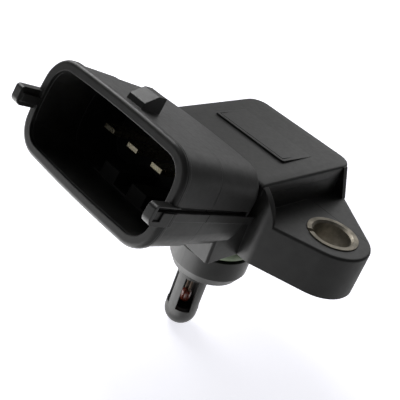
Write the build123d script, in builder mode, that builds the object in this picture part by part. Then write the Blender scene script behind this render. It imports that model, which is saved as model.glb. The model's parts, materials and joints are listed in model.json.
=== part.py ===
from build123d import *
import math
import os

os.makedirs("parts", exist_ok=True)

# Sizes are in millimetres. +X runs to the connector mouth, +Y to the mounting flange and +Z up.
# The origin is on the axis of the port spigot, in the seat face that lies on the manifold.

# Port spigot, its seal groove and the bore that leads the pressure in
spigot_dia = 11.9
groove_width = 2.8
land_width = 3.2
lead_in_height = 1.45
lead_in_depth = 0.8
seal_section = 2.4
seal_stand = 0.3
port_bore_dia = 5.6
port_bore_top = 3.2

# Slotted nozzle that guards the thermistor
nozzle_offset = 2.0
nozzle_dia = 5.0
nozzle_wall = 0.85
nozzle_length = 10.45
nozzle_bore_rise = 3.0
slot_width = 2.2
slot_start = 1.05
slot_length = 5.85
slot_count = 4
slot_angle = 45

# Sensor body and the column below the connector
body_front = 3.2
body_rear = -18.0
body_side = 6.35
body_far = -14.5
body_height = 11.2
body_top_round = 1.5
body_corner_round = 2.6
column_front = 9.2
column_far = -6.35
column_height = 6.0
column_round = 0.4
neck_reach = 4.2
neck_inset = 1.2
neck_floor = 2.5

# Mounting flange with its bushing
flange_thickness = 6.7
bolt_x = -5.4
bolt_y = 13.86
boss_radius = 5.65
flange_front_run = 1.9
flange_rear_reach = 15.7
flange_blend = 2.5
flange_edge_round = 0.4
bushing_dia = 7.4
bushing_bore = 5.5
bushing_proud = 0.15
bushing_slit = 0.7
bushing_slit_angle = -33
bushing_chamfer = 0.3
gusset_thickness = 0.95
gusset_reach = 3.15
gusset_drop = 0.3
gusset_belly = (1.7, 2.9)

# Connector: an oblong shroud that looks up and forward
connector_tilt = 16.5
connector_y = -6.05
connector_rise = 5.3
rim_reach = 24.1
socket_floor = 8.4
shroud_rear = 6.2
mouth_half_width = 13.77
mouth_half_height = 7.0
rim_wall = 1.35
floor_inset = 2.0
collar_depth = 1.1
collar_step = 0.2
section_step_reach = 16.2
section_step_inset = 0.4
section_step = 0.12
rear_inset = 0.75
side_bulge = 0.8
face_bulge = 0.35
mouth_corner = 4.2
rear_corner = 5.0
shroud_rear_round = 1.4
rim_round = 0.6

# Catch for the plug's lock, on top of the shroud; the knee is measured from its rear
catch_rear = 18.6
catch_knee = 1.4
catch_front = 22.1
catch_height = 2.0
catch_half_width = 1.45
catch_front_height = 0.75
catch_front_slope = 0.2

# Guide rails and the horns in front of the rim
rail_front_stand = 0.25
rail_rear_stand = -0.75
rail_thickness = 1.5
rail_top = 0.18
rail_bottom = -0.95
rail_rear = 5.4
rail_groove_height = 0.66
rail_groove_depth = 0.75
horn_reach = 3.1
horn_thickness = 1.2
horn_top = 1.0
horn_bottom = -1.6
horn_top_round = 0.5
horn_bottom_round = 0.9
horn_pocket_depth = 0.7
horn_pocket_length = 1.3
horn_lip = 0.5

# Keys on the socket's lower wall
key_front = 16.6
key_width = 3.0
key_height = 2.4
key_pitch = 5.7
ledge_height = 0.55
ledge_half_width = 5.5

# Terminals, stamped and moulded in
terminal_pitch = 5.0
terminal_count = 4
terminal_thickness = 0.8
terminal_blade = 2.4
terminal_tip = 15.3
terminal_point = 0.9
terminal_taper = 0.2
terminal_strip = 1.1
terminal_inner_pitch = 2.2
terminal_inner_y = -3.9
terminal_turn = 4.9
terminal_bend = 3.0
terminal_jog = -0.8
terminal_lift = 0.1

# Cover on top, and the chamber below it
cover_front = -4.7
cover_rear = -11.8
cover_side = 2.7
cover_far = -11.35
cover_corner = 0.4
cover_thickness = 1.2
cover_gap = 0.15
cover_rise = 0.3
cover_line_inset = 0.45
cover_line_width = 0.15
cover_line_depth = 0.12
cover_glue = 0.15
ledge_width = 0.7
chamber_depth = 6.2
chamber_corner = 0.6
shelf_length = 0.95

# Circuit board and the pieces on it
board_thickness = 0.8
board_glue = 0.2
board_gap = 0.15
board_side_gap = 0.4
board_rear_gap = 0.2
cell_x = -9.1
cell_y = -0.75
cell_base_size = 2.0
cell_base_height = 1.2
cell_hole_dia = 0.8
die_size = 1.5
die_thickness = 0.4
diaphragm_size = 0.7
diaphragm_depth = 0.3
dam_outer = 3.7
dam_wall = 0.35
dam_height = 2.2
gel_height = 1.9
duct_dia = 1.6
duct_level = 2.0
chip_x = -9.3
chip_y = -5.0
chip_size = 2.8
chip_thickness = 0.7
capacitor_count = 3
capacitor_x = -9.3
capacitor_first_y = -7.5
capacitor_pitch = 1.2
capacitor_length = 1.6
capacitor_width = 0.8
capacitor_height = 0.8
bond_wire_dia = 0.3
bond_rise = 0.5
bond_landing = 0.35

# Thermistor in the nozzle
bead_dia = 1.5
bead_length = 2.4
bead_centre = 12.9
lead_dia = 0.4
lead_spacing = 0.7
lead_x = -0.6
lead_top_y = (-0.6, -2.45)
lead_turn_low = 7.0
lead_turn_high = 1.2
lead_bend = 1.0

# How far blocks run into each other before they become one moulding
overlap = 1.0

# Worked out from the sizes above
spigot_radius = spigot_dia / 2
groove_floor = -groove_width
land_floor = groove_floor - land_width
spigot_floor = land_floor - lead_in_height
seal_outer = spigot_radius + seal_stand
core_radius = seal_outer - seal_section
nozzle_radius = nozzle_dia / 2
nozzle_tip = spigot_floor - nozzle_length
nozzle_bore_radius = nozzle_radius - nozzle_wall
connector_centre = Vector(0, connector_y, 0)
tilt = math.radians(connector_tilt)
out_dir = Vector(math.cos(tilt), 0, math.sin(tilt))
up_dir = Vector(-math.sin(tilt), 0, math.cos(tilt))
chamber_floor = body_height - chamber_depth
board_top = chamber_floor + board_glue + board_thickness
ledge_level = body_height - cover_thickness - cover_glue
chamber_front = cover_front - ledge_width
chamber_rear = cover_rear + ledge_width
chamber_side = cover_side - ledge_width
chamber_far = cover_far + ledge_width
terminal_level = board_top + terminal_lift


def mouth_plane(reach):
    """Plane across the connector at a reach along its axis, with x to the flange side and y upwards."""
    origin = connector_centre + out_dir * reach + up_dir * connector_rise
    return Plane(origin=origin, x_dir=(0, 1, 0), z_dir=out_dir)


def side_plane(height):
    """Plane along the connector's axis at a height above it, with x outwards and y to the flange side."""
    origin = connector_centre + up_dir * (connector_rise + height)
    return Plane(origin=origin, x_dir=out_dir, z_dir=up_dir)


def oblong(inset, corner):
    """Closed outline of the shroud's section, moved inwards by the inset."""
    half_w = mouth_half_width - inset
    half_h = mouth_half_height - inset
    edge_x = half_w - side_bulge
    edge_y = half_h - face_bulge
    with BuildSketch() as section:
        with BuildLine():
            ThreePointArc((-edge_x, edge_y), (0, half_h), (edge_x, edge_y))
            ThreePointArc((edge_x, edge_y), (half_w, 0), (edge_x, -edge_y))
            ThreePointArc((edge_x, -edge_y), (0, -half_h), (-edge_x, -edge_y))
            ThreePointArc((-edge_x, -edge_y), (-half_w, 0), (-edge_x, edge_y))
        make_face()
        fillet(section.vertices(), radius=corner - inset)
    return section.sketch


def boss_touch(corner, turn):
    """Point where a line from the corner touches the boss, on the side that the turn's sign says."""
    away_x, away_y = corner[0] - bolt_x, corner[1] - bolt_y
    angle = math.atan2(away_y, away_x) + turn * math.acos(boss_radius / math.hypot(away_x, away_y))
    return (bolt_x + boss_radius * math.cos(angle), bolt_y + boss_radius * math.sin(angle))


# Terminals: a flat blade in the socket and a narrower strip that runs back to the board
terminals = []
for i in range(terminal_count):
    blade_y = connector_y + (i - (terminal_count - 1) / 2) * terminal_pitch
    strip_y = terminal_inner_y + (i - (terminal_count - 1) / 2) * terminal_inner_pitch
    with BuildPart() as terminal:
        with BuildSketch(mouth_plane(terminal_turn)):
            with Locations((blade_y - connector_y, 0)):
                Rectangle(terminal_blade, terminal_thickness)
        extrude(amount=terminal_tip - terminal_point - terminal_turn)
        with BuildSketch(mouth_plane(terminal_tip - terminal_point)):
            with Locations((blade_y - connector_y, 0)):
                Rectangle(terminal_blade, terminal_thickness)
        with BuildSketch(mouth_plane(terminal_tip)):
            with Locations((blade_y - connector_y, 0)):
                Rectangle(terminal_blade - 2 * terminal_taper, terminal_thickness - terminal_taper)
        loft()
        with BuildSketch(Plane.XY.offset(terminal_level)):
            with Locations((terminal_bend + terminal_thickness, blade_y)):
                Rectangle(terminal_thickness, terminal_strip)
        extrude(amount=mouth_plane(terminal_turn).origin.Z - terminal_level)
        with BuildSketch(Plane.XY.offset(terminal_level)):
            with BuildLine():
                Polyline(
                    (terminal_turn, blade_y),
                    (terminal_bend, blade_y),
                    (terminal_jog, strip_y),
                    (chamber_front - shelf_length + board_gap, strip_y),
                )
            trace(line_width=terminal_strip)
        extrude(amount=terminal_thickness)
    terminal.part.label = f"terminal_{i + 1}"
    terminals.append(terminal.part)
    export_step(terminal.part, f"parts/terminal_{i + 1}.step")

# Thermistor: a bead in the nozzle and two leads up to the strips of the last two terminals
bead_top = -bead_centre + bead_length / 2
leads = []
for i, top_y in enumerate(lead_top_y):
    start_y = lead_spacing * (0.5 - i)
    with BuildPart() as lead:
        with BuildLine():
            FilletPolyline(
                (nozzle_offset, start_y, bead_top - bead_length / 4),
                (nozzle_offset, start_y, -lead_turn_low),
                (lead_x, top_y, -lead_turn_high),
                (lead_x, top_y, terminal_level),
                radius=lead_bend,
            )
        with BuildSketch(Plane.XY.offset(bead_top - bead_length / 4)):
            with Locations((nozzle_offset, start_y)):
                Circle(lead_dia / 2)
        sweep()
    lead.part.label = f"thermistor_lead_{i + 1}"
    leads.append(lead.part)
    export_step(lead.part, f"parts/thermistor_lead_{i + 1}.step")

with BuildPart() as thermistor_bead:
    with BuildSketch(Plane.XZ):
        with Locations((nozzle_offset, -bead_centre)):
            SlotOverall(bead_length, bead_dia, rotation=90)
        split(bisect_by=Plane.YZ.offset(nozzle_offset))
    revolve(axis=Axis((nozzle_offset, 0, 0), (0, 0, 1)))
    for lead_solid in leads:
        add(lead_solid, mode=Mode.SUBTRACT)
thermistor_bead.part.label = "thermistor_bead"
export_step(thermistor_bead.part, "parts/thermistor_bead.step")

# Shroud of the connector, outside only: two tapering sections with a small step, and the collar
with BuildPart() as shroud:
    with BuildSketch(mouth_plane(shroud_rear)):
        add(oblong(rear_inset, rear_corner))
    with BuildSketch(mouth_plane(section_step_reach)):
        add(oblong(section_step_inset + section_step, mouth_corner))
    loft()
    fillet(shroud.faces().sort_by(Axis((0, 0, 0), out_dir))[0].edges(), radius=shroud_rear_round)
    with BuildSketch(mouth_plane(section_step_reach)):
        add(oblong(section_step_inset, mouth_corner))
    with BuildSketch(mouth_plane(rim_reach - collar_depth)):
        add(oblong(collar_step, mouth_corner))
    loft()
    with BuildSketch(mouth_plane(rim_reach - collar_depth)):
        add(oblong(0, mouth_corner))
    extrude(amount=collar_depth)
    fillet(shroud.faces().sort_by(Axis((0, 0, 0), out_dir))[-1].edges(), radius=rim_round)

# Space inside the socket, tapering to its floor, with the keys and the ledge left standing
with BuildPart() as socket_space:
    with BuildSketch(mouth_plane(socket_floor)):
        add(oblong(floor_inset, rear_corner))
    with BuildSketch(mouth_plane(rim_reach)):
        add(oblong(rim_wall, mouth_corner))
    loft()
    wall_level = -mouth_half_height + rim_wall
    with BuildSketch(mouth_plane(socket_floor)):
        with GridLocations(key_pitch, 0, 2, 1):
            with Locations((0, wall_level)):
                Rectangle(key_width, key_height, align=(Align.CENTER, Align.MIN))
        with Locations((0, wall_level)):
            Rectangle(2 * ledge_half_width, ledge_height, align=(Align.CENTER, Align.MIN))
    extrude(amount=key_front - socket_floor, mode=Mode.SUBTRACT)

# Guide rail and horn on the flange side, mirrored to the other side below
rail_front_y = mouth_half_width + rail_front_stand
rail_rear_y = mouth_half_width + rail_rear_stand
horn_end = rim_reach + horn_reach
with BuildPart() as rail:
    with BuildSketch(side_plane(rail_bottom)):
        with BuildLine():
            Polyline(
                (rail_rear, rail_rear_y),
                (horn_end - horn_lip, rail_front_y),
                (horn_end - horn_lip, rail_front_y - rail_thickness),
                (rail_rear, rail_rear_y - rail_thickness),
                close=True,
            )
        make_face()
    extrude(amount=rail_top - rail_bottom)
    with BuildSketch(side_plane(horn_bottom)) as horn_plan:
        with Locations((horn_end, rail_front_y)):
            Rectangle(horn_reach + collar_depth, horn_thickness, align=(Align.MAX, Align.MAX))
    extrude(amount=horn_top - horn_bottom)
    horn_front = rail.edges().filter_by(Axis.Y).group_by(Axis((0, 0, 0), out_dir))[-1]
    fillet(horn_front.sort_by(Axis((0, 0, 0), up_dir))[-1], radius=horn_top_round)
    horn_front = rail.edges().filter_by(Axis.Y).group_by(Axis((0, 0, 0), out_dir))[-1]
    fillet(horn_front.sort_by(Axis((0, 0, 0), up_dir))[0], radius=horn_bottom_round)
    with BuildSketch(side_plane(rail_bottom)):
        with Locations((horn_end - horn_lip, rail_front_y)):
            Rectangle(horn_pocket_length, horn_pocket_depth, align=(Align.MAX, Align.MAX))
    extrude(amount=rail_top + rail_groove_height - rail_bottom, mode=Mode.SUBTRACT)

with BuildPart() as rail_groove:
    with BuildSketch(side_plane(rail_top)):
        with BuildLine():
            Polyline(
                (shroud_rear + shroud_rear_round, rail_rear_y + overlap),
                (horn_end - horn_lip, rail_front_y + overlap),
                (horn_end - horn_lip, rail_front_y - rail_groove_depth),
                (shroud_rear + shroud_rear_round, rail_rear_y - rail_groove_depth),
                close=True,
            )
        make_face()
    extrude(amount=rail_groove_height)

# Catch on top of the shroud: a low front wall, a rise to the knee, and a flat top that drops at the rear
crest = mouth_half_height - collar_step
catch_foot = crest - face_bulge
with BuildPart() as catch:
    with BuildSketch(Plane(mouth_plane(0).origin + Vector(0, -catch_half_width, 0), x_dir=out_dir, z_dir=(0, 1, 0))):
        with BuildLine():
            Polyline(
                (catch_rear, -catch_foot),
                (catch_rear, -crest - catch_height),
                (catch_rear + catch_knee, -crest - catch_height),
                (catch_front - catch_front_slope, -crest - catch_front_height),
                (catch_front, -catch_foot),
                close=True,
            )
        make_face()
    extrude(amount=2 * catch_half_width)

# Flange with its two tapering sides and the round boss about the bolt
flange_corner = (body_front, body_side + flange_front_run)
flange_rear_corner = (-flange_rear_reach, body_side)
with BuildSketch() as flange_plan:
    with BuildLine():
        Polyline(
            (body_front, body_side - overlap),
            flange_corner,
            boss_touch(flange_corner, 1),
            (bolt_x, bolt_y),
            boss_touch(flange_rear_corner, -1),
            flange_rear_corner,
            (-flange_rear_reach, body_side - overlap),
            close=True,
        )
    make_face()
    with Locations((bolt_x, bolt_y)):
        Circle(boss_radius)
    fillet(flange_plan.vertices().sort_by_distance(Vector(*flange_corner))[0], radius=flange_blend)
with BuildPart() as flange:
    add(flange_plan.sketch)
    extrude(amount=flange_thickness)
    fillet(flange.faces().sort_by(Axis.Z)[-1].edges(), radius=flange_edge_round)

# Gusset flush with the body's front wall and the flange's side
with BuildPart() as gusset:
    with BuildSketch(Plane.YZ.offset(body_front - gusset_thickness)):
        with BuildLine():
            top_corner = (body_side, body_height - gusset_drop)
            foot = (body_side + gusset_reach, flange_thickness)
            belly = (body_side + gusset_belly[0], flange_thickness + gusset_belly[1])
            ThreePointArc(top_corner, belly, foot)
            Polyline(
                foot,
                (body_side + gusset_reach, flange_thickness - overlap),
                (body_side - overlap, flange_thickness - overlap),
                (body_side - overlap, body_height - gusset_drop),
                top_corner,
            )
        make_face()
    extrude(amount=gusset_thickness)
    with BuildSketch():
        add(flange_plan.sketch)
    extrude(amount=body_height, mode=Mode.INTERSECT)

# Housing: one moulding of body, column, flange, shroud, spigot and nozzle
with BuildPart() as housing:
    body_length = body_front - body_rear
    body_width = body_side - body_far
    with BuildSketch() as body_plan:
        with Locations((body_front, body_side)):
            Rectangle(body_length, body_width, align=(Align.MAX, Align.MAX))
        fillet(body_plan.vertices().group_by(Axis.X)[0], radius=body_corner_round)
    extrude(amount=body_height)
    fillet(housing.faces().sort_by(Axis.Z)[-1].edges(), radius=body_top_round)
    with BuildSketch() as column_plan:
        with Locations((column_front, body_side)):
            Rectangle(column_front - body_front + overlap, body_side - column_far, align=(Align.MAX, Align.MAX))
        fillet(column_plan.vertices().group_by(Axis.X)[-1], radius=column_round)
    extrude(amount=column_height)
    with BuildSketch(Plane.XY.offset(neck_floor)):
        with Locations((body_front + neck_reach, body_side - neck_inset)):
            Rectangle(neck_reach + overlap, body_width - 2 * neck_inset, align=(Align.MAX, Align.MAX))
    extrude(amount=body_height - body_top_round - neck_floor)

    add(flange.part)
    add(gusset.part)
    add(shroud.part)
    add(rail.part)
    mirror(rail.part, about=Plane.XZ.offset(-connector_y))
    add(catch.part)
    add(rail_groove.part, mode=Mode.SUBTRACT)
    mirror(rail_groove.part, about=Plane.XZ.offset(-connector_y), mode=Mode.SUBTRACT)
    add(socket_space.part, mode=Mode.SUBTRACT)

    # Spigot with the seal groove and the lead-in
    with BuildSketch(Plane.XZ) as spigot_section:
        with BuildLine():
            Polyline(
                (0, overlap),
                (core_radius, overlap),
                (core_radius, groove_floor),
                (spigot_radius, groove_floor),
                (spigot_radius, land_floor),
                (spigot_radius - lead_in_depth, spigot_floor),
                (0, spigot_floor),
                close=True,
            )
        make_face()
    revolve(axis=Axis.Z)
    with BuildSketch(Plane.XY.offset(spigot_floor + overlap)):
        with Locations((nozzle_offset, 0)):
            Circle(nozzle_radius)
    extrude(amount=-(nozzle_length + overlap - nozzle_radius))
    with Locations((nozzle_offset, 0, nozzle_tip + nozzle_radius)):
        Sphere(nozzle_radius)

    # Pressure way: nozzle bore, spigot bore and the duct to the cell
    with BuildSketch(Plane.XY.offset(spigot_floor + nozzle_bore_rise)):
        with Locations((nozzle_offset, 0)):
            Circle(nozzle_bore_radius)
    extrude(amount=-(nozzle_length + nozzle_bore_rise - nozzle_radius), mode=Mode.SUBTRACT)
    with BuildSketch(Plane.XY.offset(spigot_floor + lead_in_height)):
        Circle(port_bore_dia / 2)
    extrude(amount=port_bore_top - spigot_floor - lead_in_height, mode=Mode.SUBTRACT)
    with BuildSketch(Plane.YZ.offset(cell_x)):
        with Locations((cell_y, duct_level)):
            Circle(duct_dia / 2)
    extrude(amount=-cell_x, mode=Mode.SUBTRACT)
    with BuildSketch(Plane.XY.offset(duct_level)):
        with Locations((cell_x, cell_y)):
            Circle(duct_dia / 2)
    extrude(amount=chamber_floor - duct_level, mode=Mode.SUBTRACT)

    # Slots through the nozzle's wall
    with BuildSketch(Plane.XY.offset(spigot_floor - slot_start)):
        with Locations((nozzle_offset, 0)):
            with PolarLocations(0, slot_count, start_angle=slot_angle):
                Rectangle(nozzle_radius + overlap, slot_width, align=(Align.MIN, Align.CENTER))
    extrude(amount=-slot_length, mode=Mode.SUBTRACT)

    # Seat for the cover and the chamber below it
    with BuildSketch(Plane.XY.offset(ledge_level)) as cover_seat:
        with Locations((cover_front + cover_gap, cover_side + cover_gap)):
            Rectangle(
                cover_front - cover_rear + 2 * cover_gap,
                cover_side - cover_far + 2 * cover_gap,
                align=(Align.MAX, Align.MAX),
            )
        fillet(cover_seat.vertices(), radius=cover_corner + cover_gap)
    extrude(amount=body_height - ledge_level, mode=Mode.SUBTRACT)
    with BuildSketch(Plane.XY.offset(chamber_floor)) as chamber_plan:
        with Locations((chamber_front, chamber_side)):
            Rectangle(chamber_front - chamber_rear, chamber_side - chamber_far, align=(Align.MAX, Align.MAX))
        fillet(chamber_plan.vertices(), radius=chamber_corner)
        with Locations((chamber_front, chamber_side)):
            Rectangle(shelf_length, chamber_side - chamber_far, align=(Align.MAX, Align.MAX), mode=Mode.SUBTRACT)
    extrude(amount=ledge_level - chamber_floor, mode=Mode.SUBTRACT)
    with BuildSketch(Plane.XY.offset(terminal_level)):
        with Locations((chamber_front, chamber_side)):
            Rectangle(shelf_length, chamber_side - chamber_far, align=(Align.MAX, Align.MAX))
    extrude(amount=ledge_level - terminal_level, mode=Mode.SUBTRACT)

    # Bore for the bushing, and the room that the moulded-in metal takes
    with BuildSketch():
        with Locations((bolt_x, bolt_y)):
            Circle(bushing_dia / 2)
    extrude(amount=flange_thickness, mode=Mode.SUBTRACT)
    for metal in terminals + leads:
        add(metal, mode=Mode.SUBTRACT)
housing.part.label = "housing"
export_step(housing.part, "parts/housing.step")

# Split bushing, pressed into the flange
with BuildPart() as bushing:
    with BuildSketch():
        with Locations((bolt_x, bolt_y)):
            Circle(bushing_dia / 2)
            Circle(bushing_bore / 2, mode=Mode.SUBTRACT)
    extrude(amount=flange_thickness + bushing_proud)
    chamfer(bushing.edges().filter_by(GeomType.CIRCLE).group_by(SortBy.RADIUS)[0], length=bushing_chamfer)
    with BuildSketch():
        with Locations(Location((bolt_x, bolt_y, 0), bushing_slit_angle)):
            Rectangle(bushing_dia, bushing_slit, align=(Align.MIN, Align.CENTER))
    extrude(amount=flange_thickness + bushing_proud, mode=Mode.SUBTRACT)
bushing.part.label = "bushing"
export_step(bushing.part, "parts/bushing.step")

# Seal ring in the spigot's groove
with BuildPart() as seal_ring:
    with BuildSketch(Plane.XZ):
        with Locations((core_radius + seal_section / 2, -groove_width / 2)):
            Circle(seal_section / 2)
    revolve(axis=Axis.Z)
seal_ring.part.label = "seal_ring"
export_step(seal_ring.part, "parts/seal_ring.step")

# Cover, level with the body at its rear and proud at its front, and the glue that holds it on its ledge
with BuildPart() as cover:
    with BuildSketch(Plane.XZ.offset(-cover_side)):
        with BuildLine():
            Polyline(
                (cover_front, ledge_level + cover_glue),
                (cover_front, body_height + cover_rise),
                (cover_rear, body_height),
                (cover_rear, ledge_level + cover_glue),
                close=True,
            )
        make_face()
    extrude(amount=cover_side - cover_far)
    fillet(cover.edges().filter_by(Axis.Z), radius=cover_corner)
    with BuildSketch(Plane.XY.offset(body_height + cover_rise - cover_line_depth)) as cover_line:
        with Locations((cover_front - cover_line_inset, cover_side - cover_line_inset)):
            Rectangle(
                cover_front - cover_rear,
                cover_side - cover_far - 2 * cover_line_inset,
                align=(Align.MAX, Align.MAX),
            )
        offset(cover_line.sketch, amount=-cover_line_width, mode=Mode.SUBTRACT)
    extrude(amount=cover_line_depth, mode=Mode.SUBTRACT)
cover.part.label = "cover"
export_step(cover.part, "parts/cover.step")

with BuildPart() as cover_glue_bead:
    with BuildSketch(Plane.XY.offset(ledge_level)) as glue_plan:
        with Locations((cover_front, cover_side)):
            Rectangle(cover_front - cover_rear, cover_side - cover_far, align=(Align.MAX, Align.MAX))
        fillet(glue_plan.vertices(), radius=cover_corner)
        with Locations((chamber_front, chamber_side)):
            Rectangle(
                chamber_front - chamber_rear,
                chamber_side - chamber_far,
                align=(Align.MAX, Align.MAX),
                mode=Mode.SUBTRACT,
            )
    extrude(amount=cover_glue)
cover_glue_bead.part.label = "cover_glue_bead"
export_step(cover_glue_bead.part, "parts/cover_glue_bead.step")

# Ceramic board on its layer of glue, with a hole over the pressure duct
board_front = chamber_front - shelf_length - board_gap
board_length = board_front - chamber_rear - board_rear_gap
board_width = chamber_side - chamber_far - 2 * board_side_gap
board_levels = {
    "board_glue": (chamber_floor, board_glue, duct_dia),
    "circuit_board": (chamber_floor + board_glue, board_thickness, cell_hole_dia),
}
for name, (level, thickness, hole) in board_levels.items():
    with BuildPart() as layer:
        with BuildSketch(Plane.XY.offset(level)):
            with Locations((board_front, chamber_side - board_side_gap)):
                Rectangle(board_length, board_width, align=(Align.MAX, Align.MAX))
            with Locations((cell_x, cell_y)):
                Circle(hole / 2, mode=Mode.SUBTRACT)
        extrude(amount=thickness)
    layer.part.label = name
    export_step(layer.part, f"parts/{name}.step")

# Pressure cell: glass base, silicon die with its thin diaphragm, dam and gel
with BuildPart() as cell_base:
    with BuildSketch(Plane.XY.offset(board_top)):
        with Locations((cell_x, cell_y)):
            Rectangle(cell_base_size, cell_base_size)
            Circle(cell_hole_dia / 2, mode=Mode.SUBTRACT)
    extrude(amount=cell_base_height)
cell_base.part.label = "cell_base"
export_step(cell_base.part, "parts/cell_base.step")

die_level = board_top + cell_base_height
with BuildPart() as sensor_die:
    with BuildSketch(Plane.XY.offset(die_level)):
        with Locations((cell_x, cell_y)):
            Rectangle(die_size, die_size)
    extrude(amount=die_thickness)
    with BuildSketch(Plane.XY.offset(die_level)):
        with Locations((cell_x, cell_y)):
            Rectangle(diaphragm_size + 2 * diaphragm_depth, diaphragm_size + 2 * diaphragm_depth)
    with BuildSketch(Plane.XY.offset(die_level + diaphragm_depth)):
        with Locations((cell_x, cell_y)):
            Rectangle(diaphragm_size, diaphragm_size)
    loft(mode=Mode.SUBTRACT)
sensor_die.part.label = "sensor_die"
export_step(sensor_die.part, "parts/sensor_die.step")

with BuildPart() as gel_dam:
    with BuildSketch(Plane.XY.offset(board_top)):
        with Locations((cell_x, cell_y)):
            Circle(dam_outer / 2)
            Circle(dam_outer / 2 - dam_wall, mode=Mode.SUBTRACT)
    extrude(amount=dam_height)
gel_dam.part.label = "gel_dam"
export_step(gel_dam.part, "parts/gel_dam.step")

with BuildPart() as protective_gel:
    with BuildSketch(Plane.XY.offset(board_top)):
        with Locations((cell_x, cell_y)):
            Circle(dam_outer / 2 - dam_wall)
    extrude(amount=gel_height)
    with BuildSketch(Plane.XY.offset(board_top)):
        with Locations((cell_x, cell_y)):
            Rectangle(cell_base_size, cell_base_size)
    extrude(amount=cell_base_height, mode=Mode.SUBTRACT)
    with BuildSketch(Plane.XY.offset(die_level)):
        with Locations((cell_x, cell_y)):
            Rectangle(die_size, die_size)
    extrude(amount=die_thickness, mode=Mode.SUBTRACT)
protective_gel.part.label = "protective_gel"
export_step(protective_gel.part, "parts/protective_gel.step")

# Signal chip and chip capacitors on the board
with BuildPart() as signal_chip:
    with BuildSketch(Plane.XY.offset(board_top)):
        with Locations((chip_x, chip_y)):
            Rectangle(chip_size, chip_size)
    extrude(amount=chip_thickness)
signal_chip.part.label = "signal_chip"
export_step(signal_chip.part, "parts/signal_chip.step")

for i in range(capacitor_count):
    with BuildPart() as capacitor:
        with BuildSketch(Plane.XY.offset(board_top)):
            with Locations((capacitor_x, capacitor_first_y - i * capacitor_pitch)):
                Rectangle(capacitor_length, capacitor_width)
        extrude(amount=capacitor_height)
    capacitor.part.label = f"capacitor_{i + 1}"
    export_step(capacitor.part, f"parts/capacitor_{i + 1}.step")

# Bond wires from the terminals down to the board's front edge
wire_start_x = chamber_front - shelf_length + board_gap + bond_landing
wire_end_x = board_front - bond_landing
for i in range(terminal_count):
    wire_y = terminal_inner_y + (i - (terminal_count - 1) / 2) * terminal_inner_pitch
    with BuildPart() as bond_wire:
        with BuildSketch(Plane.XZ.offset(-wire_y)) as wire_side:
            with BuildLine():
                strip_top = terminal_level + terminal_thickness
                peak = strip_top + bond_rise
                inner = ThreePointArc(
                    (wire_start_x - bond_wire_dia, strip_top),
                    ((wire_start_x + wire_end_x) / 2, peak - bond_wire_dia),
                    (wire_end_x + bond_wire_dia, board_top),
                )
                outer = ThreePointArc(
                    (wire_start_x, strip_top),
                    ((wire_start_x + wire_end_x) / 2, peak),
                    (wire_end_x, board_top),
                )
                Line(inner @ 0, outer @ 0)
                Line(inner @ 1, outer @ 1)
            make_face()
        extrude(amount=bond_wire_dia / 2, both=True)
    bond_wire.part.label = f"bond_wire_{i + 1}"
    export_step(bond_wire.part, f"parts/bond_wire_{i + 1}.step")
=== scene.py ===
import json
import math
import bpy
from mathutils import Matrix, Vector


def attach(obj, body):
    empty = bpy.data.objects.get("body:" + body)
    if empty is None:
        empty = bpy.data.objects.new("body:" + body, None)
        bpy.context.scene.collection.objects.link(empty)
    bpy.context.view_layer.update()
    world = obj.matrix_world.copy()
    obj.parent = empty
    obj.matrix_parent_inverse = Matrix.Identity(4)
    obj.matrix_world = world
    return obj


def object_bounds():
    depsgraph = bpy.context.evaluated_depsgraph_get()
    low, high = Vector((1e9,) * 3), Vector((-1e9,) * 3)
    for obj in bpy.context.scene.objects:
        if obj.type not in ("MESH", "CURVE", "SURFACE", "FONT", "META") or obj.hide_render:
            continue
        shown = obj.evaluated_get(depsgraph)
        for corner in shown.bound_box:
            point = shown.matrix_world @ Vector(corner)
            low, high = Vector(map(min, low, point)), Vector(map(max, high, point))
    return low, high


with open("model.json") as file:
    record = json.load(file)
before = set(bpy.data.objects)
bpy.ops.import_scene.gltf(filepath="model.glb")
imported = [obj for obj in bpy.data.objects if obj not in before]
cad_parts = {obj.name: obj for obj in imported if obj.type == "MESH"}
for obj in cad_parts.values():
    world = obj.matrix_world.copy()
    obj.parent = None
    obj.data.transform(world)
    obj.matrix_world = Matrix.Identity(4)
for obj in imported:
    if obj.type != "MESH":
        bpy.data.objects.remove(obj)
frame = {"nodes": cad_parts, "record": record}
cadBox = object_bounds()
nodes = frame["nodes"]
mm = 0.001
tipZ = cadBox[0][2]  # the nozzle's tip, the lowest point
socketTilt = math.radians(16.5)  # the plug socket looks up by this much
scene = bpy.context.scene
scene.view_settings.view_transform = "Standard"


# Camera: solved from the straight edges of the sensor, and given in the sensor's own frame
camera = {
    "place": (75.369 * mm, 50.763 * mm, 54.391 * mm),
    "right": (-0.6911, 0.6570, 0.3012),
    "down": (0.1714, 0.5539, -0.8148),
    "lens": 66.19,
    "sensor": 36,
    "shift": (-0.0125, 0.0005),
    "clip": (5 * mm, 5),
}


def placeCamera(c):
    right = Vector(c["right"]).normalized()
    up = -Vector(c["down"])
    up = (up - right * up.dot(right)).normalized()
    back = right.cross(up)
    data = bpy.data.cameras.new("photoCamera")
    data.sensor_width = c["sensor"]
    data.lens = c["lens"]
    data.shift_x, data.shift_y = c["shift"]
    data.clip_start, data.clip_end = c["clip"]
    shot = bpy.data.objects.new("photoCamera", data)
    scene.collection.objects.link(shot)
    turn = Matrix((right, up, back)).transposed().to_4x4()
    shot.matrix_world = Matrix.Translation(c["place"]) @ turn
    scene.camera = shot


placeCamera(camera)
print("camera placed")


def linearColour(hexCode):
    code = hexCode.lstrip("#")
    shares = [int(code[i:i + 2], 16) / 255 for i in (0, 2, 4)]
    linear = [v / 12.92 if v <= 0.04045 else ((v + 0.055) / 1.055) ** 2.4 for v in shares]
    return (*linear, 1)


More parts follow.
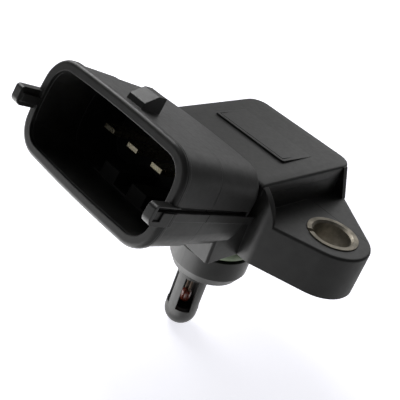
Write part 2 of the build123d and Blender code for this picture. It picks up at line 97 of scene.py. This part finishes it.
# i0, i1 and so on name a socket by its number. Elsewhere an underscore stands for a space.
def addNode(tree, kind, settings=None, **inputs):
    node = tree.nodes.new(kind)
    for name, value in (settings or {}).items():
        setattr(node, name, value)
    for name, value in inputs.items():
        byNumber = name[0] == "i" and name[1:].isdigit()
        socket = node.inputs[int(name[1:]) if byNumber else name.replace("_", " ")]
        if isinstance(value, bpy.types.NodeSocket):
            tree.links.new(value, socket)
        elif isinstance(value, str):
            socket.default_value = linearColour(value)
        else:
            socket.default_value = value
    return node


def startTree(owner):
    owner.use_nodes = True
    owner.node_tree.nodes.clear()
    return owner.node_tree


# Parting lines round the plug socket, where the tool's slides met: dull and sunk, with painted shade, as
# each line is painted black for the shade at the socket's steps.
# Each line has its reach from the origin along the socket, its half width and its strength.
partingLinesAndShade = {
    "lines": ((23.6 * mm, 0.12 * mm, 0.7), (16.2 * mm, 0.15 * mm, 1.0)),
    "way": (math.cos(socketTilt), 0, math.sin(socketTilt)),
    "depth": 26.0,  # in heights of the grain
    # black: painted shade along each line
    "colour": "#000000",
}


def addPartingLinesAndShade(tree, p, place, colour, rough, height):
    reach = addNode(
        tree, "ShaderNodeVectorMath", {"operation": "DOT_PRODUCT"}, i0=place, i1=p["way"],
    ).outputs[1]
    for line, half, strength in p["lines"]:
        offset = addNode(tree, "ShaderNodeMath", {"operation": "SUBTRACT"}, i0=reach, i1=line)
        away = addNode(tree, "ShaderNodeMath", {"operation": "ABSOLUTE"}, i0=offset.outputs[0])
        lineAndShadeMask = addNode(
            tree, "ShaderNodeMapRange",
            Value=away.outputs[0], From_Min=0.0, From_Max=half, To_Min=strength, To_Max=0.0,
        ).outputs[0]
        # painted shade: the colour goes to black along each line
        colour = addNode(
            tree, "ShaderNodeMix", {"data_type": "RGBA"}, i0=lineAndShadeMask, i6=colour, i7=p["colour"],
        ).outputs[2]
        rough = addNode(
            tree, "ShaderNodeMath", {"operation": "MAXIMUM"}, i0=rough, i1=lineAndShadeMask,
        ).outputs[0]
        sunk = addNode(tree, "ShaderNodeMath", {"operation": "MULTIPLY"}, i0=lineAndShadeMask, i1=p["depth"])
        height = addNode(
            tree, "ShaderNodeMath", {"operation": "SUBTRACT"}, i0=height, i1=sunk.outputs[0],
        ).outputs[0]
    return colour, rough, height


# Noise stays mostly between these two levels, so they are spread over the whole span
noiseLevels = (0.3, 0.7)


# A finish has a cloud of two colours, patches of roughness and a fine grain. Each of the three is
# a noise with its size, detail and roughness. A stretch below 1 draws the grain out along that axis.
def makeFinish(name, f):
    material = bpy.data.materials.new(name)
    tree = startTree(material)
    place = addNode(tree, "ShaderNodeTexCoord").outputs["Object"]
    grainPlace = place
    if "stretch" in f:
        grainPlace = addNode(
            tree, "ShaderNodeVectorMath", {"operation": "MULTIPLY"}, i0=place, i1=f["stretch"],
        ).outputs[0]
    noises = {}
    for key, where in (("cloud", place), ("patch", place), ("grain", grainPlace)):
        size, detail, roughness = f[key]
        noises[key] = addNode(
            tree, "ShaderNodeTexNoise",
            i0=where, Scale=1 / size, Detail=detail, Roughness=roughness,
        ).outputs[0]
    spans = {"cloud": (0.0, 1.0), "patch": f["rough"]}
    for key, (low, high) in spans.items():
        noises[key] = addNode(
            tree, "ShaderNodeMapRange",
            Value=noises[key], From_Min=noiseLevels[0], From_Max=noiseLevels[1], To_Min=low, To_Max=high,
        ).outputs[0]
    rough = noises["patch"]
    height = noises["grain"]
    colour = addNode(
        tree, "ShaderNodeMix", {"data_type": "RGBA"}, i0=noises["cloud"], i6=f["deep"], i7=f["pale"],
    ).outputs[2]
    if "partingLinesAndShade" in f:
        colour, rough, height = addPartingLinesAndShade(tree, f["partingLinesAndShade"], place, colour, rough, height)
    bump = addNode(tree, "ShaderNodeBump", Strength=1.0, Distance=f["grainDepth"], Height=height)
    if "edge" in f:
        rounded = addNode(tree, "ShaderNodeBevel", {"samples": 6}, Radius=f["edge"])
        tree.links.new(rounded.outputs[0], bump.inputs["Normal"])
    shader = addNode(
        tree, "ShaderNodeBsdfPrincipled",
        Base_Color=colour, Roughness=rough, Normal=bump.outputs[0], **f["surface"],
    )
    addNode(tree, "ShaderNodeOutputMaterial", Surface=shader.outputs[0])
    return material


# Glass-filled PBT, injection moulded in a spark-eroded tool: near-black, satin, with an even fine grain
pbt = {
    "deep": "#141413",
    "pale": "#212120",
    "surface": {"IOR": 1.55},
    "cloud": (2.0 * mm, 2.0, 0.5),
    "patch": (2.0 / 3 * mm, 2.0, 0.5),
    "rough": (0.41, 0.47),
    "grain": (0.22 * mm, 1.0, 0.5),
    "grainDepth": 0.003 * mm,
    "edge": 0.16 * mm,  # the tool's corners are never quite sharp
    "partingLinesAndShade": partingLinesAndShade,
}

# Zinc-plated rolled steel strip: grey-beige and softly bright, with drawing lines along the hole
# that are coarser than the real ones, so that they show
steel = {
    "deep": "#7a766c",
    "pale": "#a29b8e",
    "surface": {"Metallic": 1.0},
    "cloud": (1.8 * mm, 4.0, 0.6),
    "patch": (0.7 * mm, 2.0, 0.5),
    "rough": (0.42, 0.62),
    "grain": (0.25 * mm, 2.0, 0.5),
    "grainDepth": 0.006 * mm,
    "stretch": (1.0, 1.0, 0.12),
}

# Moulded fluorosilicone rubber: grey-green, dull, with a faint film of oil
rubber = {
    "deep": "#66755c",
    "pale": "#87967c",
    "surface": {"IOR": 1.5},
    "cloud": (1.5 * mm, 3.0, 0.5),
    "patch": (0.6 * mm, 2.0, 0.5),
    "rough": (0.4, 0.6),
    "grain": (0.2 * mm, 2.0, 0.5),
    "grainDepth": 0.004 * mm,
}

# Stamped bronze strip under bright tin: warm silver, with stamping lines along the blade that are
# coarser than the real ones, so that they show. Its pale clouds are also its rougher patches.
tin = {
    "deep": "#cdc4a4",
    "pale": "#f3ecd4",
    "surface": {"Metallic": 1.0},
    "cloud": (0.9 * mm, 3.0, 0.5),
    "patch": (0.9 * mm, 3.0, 0.5),
    "rough": (0.24, 0.38),
    "grain": (0.12 * mm, 2.0, 0.5),
    "grainDepth": 0.003 * mm,
    "stretch": (0.1, 1.0, 1.0),
}


# A small inner piece's finish follows from its colours, its roughness and the size of its grain
def innerFinish(name, deep, pale, roughness, grain, **surface):
    return makeFinish(name, {
        "deep": deep,
        "pale": pale,
        "surface": surface,
        "cloud": (grain * 4, 3.0, 0.5),
        "patch": (grain * 2, 2.0, 0.5),
        "rough": (roughness * 0.85, roughness * 1.15),
        "grain": (grain, 2.0, 0.5),
        "grainDepth": grain * 0.02,
    })


finishes = {
    "black_pbt": makeFinish("mouldedBlackPbt", pbt),
    "plated_steel": makeFinish("zincPlatedSteel", steel),
    "seal_rubber": makeFinish("mouldedSealRubber", rubber),
    "tinned_bronze": makeFinish("tinnedStampedBronze", tin),
    # cured silicone, dark and soft
    "silicone_glue": innerFinish("curedSilicone", "#2a2a2a", "#3a3a39", 0.45, 0.3 * mm, IOR=1.5),
    # fired alumina, off-white and matt
    "alumina_ceramic": innerFinish("firedAlumina", "#e3e0d8", "#efece5", 0.55, 0.15 * mm, IOR=1.76),
    # sawn borosilicate glass, clear and faintly green
    "cell_glass": innerFinish(
        "sawnGlass", "#d9e4de", "#e6efe9", 0.12, 0.2 * mm, Transmission_Weight=0.9, IOR=1.47,
    ),
    # lapped silicon, a dark blue-grey mirror
    "silicon": innerFinish("lappedSilicon", "#5d6068", "#6d7079", 0.15, 0.3 * mm, Metallic=1.0),
    # moulded LCP, dark grey and satin
    "dam_plastic": innerFinish("mouldedDamPlastic", "#38383a", "#454547", 0.5, 0.15 * mm, IOR=1.5),
    # soft clear silicone gel, smooth and wet-looking
    "clear_gel": innerFinish(
        "softClearGel", "#dfe4e6", "#eef1f2", 0.06, 0.5 * mm, Transmission_Weight=0.95, IOR=1.41,
    ),
    # transfer-moulded epoxy, black with a faint grain
    "chip_epoxy": innerFinish("mouldedChipEpoxy", "#232324", "#2e2e2f", 0.5, 0.1 * mm, IOR=1.5),
    # glazed barium titanate, tan-brown
    "capacitor_ceramic": innerFinish(
        "glazedCapacitorCeramic", "#8c6c4e", "#a4825f", 0.3, 0.2 * mm, IOR=1.5,
    ),
    # drawn aluminium wire, bright
    "aluminium_wire": innerFinish("drawnAluminium", "#cfd0d2", "#e4e4e5", 0.25, 0.1 * mm, Metallic=1.0),
    # dipped epoxy resin, red-brown and glossy
    "bead_resin": innerFinish("dippedBeadResin", "#5a2216", "#74301f", 0.22, 0.4 * mm, IOR=1.56),
    # hot-tinned wire, coloured a dull dark brown
    "lead_wire": innerFinish("hotTinnedWire", "#3d342e", "#54483f", 0.5, 0.15 * mm, Metallic=1.0),
}

slotOf = {part["node"]: part["material_slot"] for part in frame["record"]["subparts"]}
for name, node in nodes.items():
    node.data.materials.clear()
    node.data.materials.append(finishes[slotOf[name]])
print("materials made:", len(finishes))


# The pieces below are modelled one by one, with their sizes in millimetres
close = 0.01  # how near two places, or two slopes, count as the same
facing = 0.99  # a face looks along an axis when its normal goes this far along it


def takePiece(piece):
    bpy.ops.object.select_all(action="DESELECT")
    piece.select_set(True)
    bpy.context.view_layer.objects.active = piece


def clearPick(piece, kind):
    takePiece(piece)
    bpy.ops.object.mode_set(mode="EDIT")
    bpy.ops.mesh.select_mode(type=kind)
    bpy.ops.mesh.select_all(action="DESELECT")
    bpy.ops.object.mode_set(mode="OBJECT")


def bevelEdges(piece, width, steps, wanted):
    clearPick(piece, "EDGE")
    points = piece.data.vertices
    for edge in piece.data.edges:
        edge.select = wanted(*(points[i].co / mm for i in edge.vertices))
    bpy.ops.object.mode_set(mode="EDIT")
    bpy.ops.mesh.bevel(offset=width * mm, segments=steps)
    bpy.ops.object.mode_set(mode="OBJECT")


def pickFaces(piece, wanted):
    clearPick(piece, "FACE")
    for face in piece.data.polygons:
        face.select = wanted(face.center / mm, face.normal)
    bpy.ops.object.mode_set(mode="EDIT")


def insetFaces(piece, width, depth, wanted):
    pickFaces(piece, wanted)
    bpy.ops.mesh.inset(thickness=width * mm, depth=-depth * mm)
    bpy.ops.object.mode_set(mode="OBJECT")


def addBlock(name, low, high):
    bpy.ops.object.select_all(action="DESELECT")
    centre = [(a + b) / 2 * mm for a, b in zip(low, high)]
    bpy.ops.mesh.primitive_cube_add(size=1, location=centre)
    piece = bpy.context.object
    piece.name = name
    piece.scale = [(b - a) * mm for a, b in zip(low, high)]
    bpy.ops.object.transform_apply(location=True, rotation=True, scale=True)
    return piece


# Takes off what lies on the normal's side of a plane, and closes the cut
def cutBlock(piece, place, normal):
    takePiece(piece)
    bpy.ops.object.mode_set(mode="EDIT")
    bpy.ops.mesh.select_all(action="SELECT")
    bpy.ops.mesh.bisect(plane_co=[v * mm for v in place], plane_no=normal, use_fill=True, clear_outer=True)
    bpy.ops.mesh.select_all(action="SELECT")
    bpy.ops.mesh.normals_make_consistent(inside=False)
    bpy.ops.object.mode_set(mode="OBJECT")


def joinSolid(piece, added):
    takePiece(piece)
    union = piece.modifiers.new("union", "BOOLEAN")
    union.operation = "UNION"
    union.solver = "EXACT"
    union.object = added
    bpy.ops.object.modifier_apply(modifier=union.name)
    bpy.data.objects.remove(added)


# The body's faces, with those of the added pieces a hair proud of them
body = {"front": 3.21, "rear": -17.995, "side": 6.36, "far": -14.51, "top": 11.205}

# A crisper edge round the body's top: a frame with its two rear corners rounded
ring = {
    "floor": 9.5,
    "width": 1.7,
    "corner": 2.6,
    "cornerSteps": 10,
    "edge": 0.4,
    "edgeSteps": 4,
    "middle": 2,
}


def topFrame(b, c):
    piece = addBlock("topFrame", (b["rear"], b["far"], c["floor"]), (b["front"], b["side"], b["top"]))
    middle = ((b["rear"] + b["front"]) / 2, (b["far"] + b["side"]) / 2)

    def isRearUpright(p, q):
        return max(p.x, q.x) < b["rear"] + close and abs(p.z - q.z) > close

    def isTopEdge(p, q):
        return min(p.z, q.z) > b["top"] - close

    def isUnderside(place, normal):
        return normal.z < -facing

    def isTop(place, normal):
        return normal.z > facing and place.z > b["top"] - close

    def isMiddle(place, normal):
        offset = max(abs(place.x - middle[0]), abs(place.y - middle[1]))
        return abs(normal.z) > facing and offset < c["middle"]

    bevelEdges(piece, c["corner"], c["cornerSteps"], isRearUpright)
    bevelEdges(piece, c["edge"], c["edgeSteps"], isTopEdge)
    insetFaces(piece, c["width"], 0, isUnderside)
    insetFaces(piece, c["width"] - c["edge"], 0, isTop)
    # The middle faces above and below are bridged, which opens the frame
    pickFaces(piece, isMiddle)
    bpy.ops.mesh.bridge_edge_loops()
    bpy.ops.object.mode_set(mode="OBJECT")
    return piece


# The web at the ear's rear, and the ear's side that runs from its foot to the boss round the bolt
ear = {
    "rear": -16.03,
    "thick": 0.85,
    "reach": 1.9,
    "lip": 0.1,
    "drop": 0.15,
    "sink": 1,
    "top": 6.7,
    "lift": 0.005,
    "bolt": (-5.4, 13.86),
    "boss": 5.65,
    "past": 0.8,
    "edge": 0.4,
    "edgeSteps": 4,
}


def rearWeb(b, c):
    top = b["top"] - c["drop"]
    low = (c["rear"], b["side"] - c["sink"], c["top"] - c["sink"])
    high = (c["rear"] + c["thick"], b["side"] + c["reach"], top)
    web = addBlock("rearWeb", low, high)
    slope = Vector((0, top - c["top"], c["reach"] - c["lip"])).normalized()
    cutBlock(web, (0, b["side"] + c["lip"], top), slope)
    return web


def rearEarSide(b, c):
    corner = Vector((c["rear"], b["side"] + c["reach"]))
    away = Vector(c["bolt"]) - corner
    turn = math.atan2(away.y, away.x) + math.asin(c["boss"] / away.length)
    reach = math.sqrt(away.length ** 2 - c["boss"] ** 2)
    touch = corner + Vector((math.cos(turn), math.sin(turn))) * reach
    low = (corner.x, b["side"] - c["sink"], -c["lift"])
    high = (touch.x + c["past"], touch.y, c["top"] + c["lift"])
    block = addBlock("rearEarSide", low, high)
    cutBlock(block, (*corner, 0), (-math.sin(turn), math.cos(turn), 0))

    def isSlantingTop(p, q):
        slant = abs((q - p).normalized().y)
        return min(p.z, q.z) > c["top"] and abs(slant - math.sin(turn)) < close

    bevelEdges(block, c["edge"], c["edgeSteps"], isSlantingTop)
    return block


# Fills that leave the horns' dimples shallow, one on each side of the socket's middle
horn = {
    "socketY": -6.05,
    "socketRise": 5.3,
    "along": (25.3, 26.7),
    "height": (-0.95, 0.18),
    "side": (13.2, 13.8),
}


def hornFill(name, c, side):
    y = sorted(c["socketY"] + side * v for v in c["side"])
    z = [c["socketRise"] + v for v in c["height"]]
    block = addBlock(name, (c["along"][0], y[0], z[0]), (c["along"][1], y[1], z[1]))
    block.rotation_euler = (0, -socketTilt, 0)
    bpy.ops.object.transform_apply(location=True, rotation=True, scale=True)
    return block


# A web in the nozzle behind the thermistor, which closes the far slot, with a shallow tray in its face
guard = {
    "axis": (2.0, 0.0),
    "way": 45,
    "behind": (1.0, 1.4),
    "half": 1.3,
    "low": 2.9,
    "high": 10.2,
    "rim": 0.35,
    "tray": 0.18,
}


def nozzleWeb(c):
    tip = tipZ / mm
    near, far = c["behind"]
    web = addBlock("nozzleWeb", (-far, -c["half"], tip + c["low"]), (-near, c["half"], tip + c["high"]))
    insetFaces(web, c["rim"], c["tray"], lambda place, normal: normal.x > facing)
    web.rotation_euler = (0, 0, math.radians(c["way"]))
    web.location = (c["axis"][0] * mm, c["axis"][1] * mm, 0)
    bpy.ops.object.transform_apply(location=True, rotation=True, scale=True)
    return web


# A short web between the body and the socket, over the turn of the outermost terminal
gap = {"low": (2.9, -14.98, 4.7), "high": (5.3, -12.4, 8.3), "edge": 0.3, "edgeSteps": 3}


def gapWeb(c):
    block = addBlock("gapWeb", c["low"], c["high"])
    outer = c["low"][1] + close
    bevelEdges(block, c["edge"], c["edgeSteps"], lambda p, q: max(p.y, q.y) < outer)
    return block


topEdge = topFrame(body, ring)
earWeb = rearWeb(body, ear)
joinSolid(earWeb, rearEarSide(body, ear))
dimples = hornFill("hornDimples", horn, 1)
joinSolid(dimples, hornFill("hornDimpleFar", horn, -1))
smoothBelow = math.radians(32)
for piece in (topEdge, earWeb, dimples, nozzleWeb(guard), gapWeb(gap)):
    takePiece(piece)
    bpy.ops.object.shade_smooth_by_angle(angle=smoothBelow)
    piece.data.materials.append(finishes["black_pbt"])
    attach(piece, "root")
print("top edge, ear's rear, horn dimples, nozzle web and gap web made")


# A pale floor of matt paper just below the nozzle's tip. The camera sees it white, with the sensor's
# soft shadow. The sensor sees it as pale grey, and brighter in a round below the body.
paper = {
    "half": 0.6,
    "gap": 0.02 * mm,
    "seen": "#f2f2f6",
    "seenLift": "#f8f8ff",
    "liftLevel": 0.8,
    "bounce": "#e8e8ea",
    "bounceLift": "#ffffff",
    "bounceLevel": 0.2,
    "glowLevel": 1.8,
    "glowPlace": (-0.012, -0.022, 0.0),
    "glowReach": 0.05,
}


def mattPaper(p):
    material = bpy.data.materials.new("mattPaper")
    tree = startTree(material)
    path = addNode(tree, "ShaderNodeLightPath")
    place = addNode(tree, "ShaderNodeTexCoord").outputs["Object"]
    toGlow = addNode(
        tree, "ShaderNodeVectorMath", {"operation": "DISTANCE"}, i0=place, i1=p["glowPlace"],
    ).outputs[1]
    level = addNode(
        tree, "ShaderNodeMapRange",
        Value=toGlow, From_Min=0.0, From_Max=p["glowReach"], To_Min=p["glowLevel"], To_Max=p["bounceLevel"],
    ).outputs[0]
    sides = []
    for colour, lift, strength in (
        (p["bounce"], p["bounceLift"], level),
        (p["seen"], p["seenLift"], p["liftLevel"]),
    ):
        diffuse = addNode(tree, "ShaderNodeBsdfDiffuse", Color=colour)
        emission = addNode(tree, "ShaderNodeEmission", Color=lift, Strength=strength)
        both = addNode(tree, "ShaderNodeAddShader", i0=diffuse.outputs[0], i1=emission.outputs[0])
        sides.append(both.outputs[0])
    shader = addNode(
        tree, "ShaderNodeMixShader", i0=path.outputs["Is Camera Ray"], i1=sides[0], i2=sides[1],
    )
    addNode(tree, "ShaderNodeOutputMaterial", Surface=shader.outputs[0])
    return material


bpy.ops.object.select_all(action="DESELECT")
bpy.ops.mesh.primitive_plane_add(size=2 * paper["half"], location=(0, 0, tipZ - paper["gap"]))
floor = bpy.context.object
floor.name = "floor"
floor.data.materials.append(mattPaper(paper))


# A soft box behind on the left, a key at the far side, and a low patch in front that lights upwards
lamps = {
    "rearBox": {"place": (-0.42, -0.10, 0.25), "aim": (0, 0, 0), "size": 0.3, "power": 0.24},
    "sideKey": {"place": (-0.05, -0.34, 0.30), "aim": (0, 0, 0), "size": 0.25, "power": 1.25},
    "frontPatch": {
        "place": (0.046, -0.036, -0.0172),
        "aim": (0.046, -0.036, 1.0),
        "size": 0.08,
        "power": 0.05,
    },
}

for name, lamp in lamps.items():
    data = bpy.data.lights.new(name, "AREA")
    data.shape = "SQUARE"
    data.size = lamp["size"]
    data.energy = lamp["power"]
    light = bpy.data.objects.new(name, data)
    light.location = lamp["place"]
    aim = Vector(lamp["aim"]) - Vector(lamp["place"])
    light.rotation_euler = aim.to_track_quat("-Z", "Y").to_euler()
    light.visible_camera = False
    scene.collection.objects.link(light)


# The room is a dim dome, brighter behind on the left, and white where the camera looks past the sensor
room = {"bright": (-0.80, -0.58, 0.10), "from": 0.5, "to": 1.0, "low": 0.10, "high": 0.40, "seen": 1.0}


def studioWorld(r):
    world = bpy.data.worlds.new("studio")
    tree = startTree(world)
    path = addNode(tree, "ShaderNodeLightPath")
    way = addNode(tree, "ShaderNodeTexCoord").outputs["Generated"]
    toBright = addNode(
        tree, "ShaderNodeVectorMath", {"operation": "DOT_PRODUCT"}, i0=way, i1=r["bright"],
    ).outputs[1]
    dome = addNode(
        tree, "ShaderNodeMapRange",
        Value=toBright, From_Min=r["from"], From_Max=r["to"], To_Min=r["low"], To_Max=r["high"],
    ).outputs[0]
    isSeen = addNode(
        tree, "ShaderNodeMath", {"operation": "MAXIMUM"},
        i0=path.outputs["Is Camera Ray"], i1=path.outputs["Is Transmission Ray"],
    ).outputs[0]
    level = addNode(
        tree, "ShaderNodeMix", {"data_type": "FLOAT"}, i0=isSeen, i2=dome, i3=r["seen"],
    ).outputs[0]
    sky = addNode(tree, "ShaderNodeBackground", Color="#ffffff", Strength=level)
    addNode(tree, "ShaderNodeOutputWorld", Surface=sky.outputs[0])
    return world


scene.world = studioWorld(room)
print("stage set")
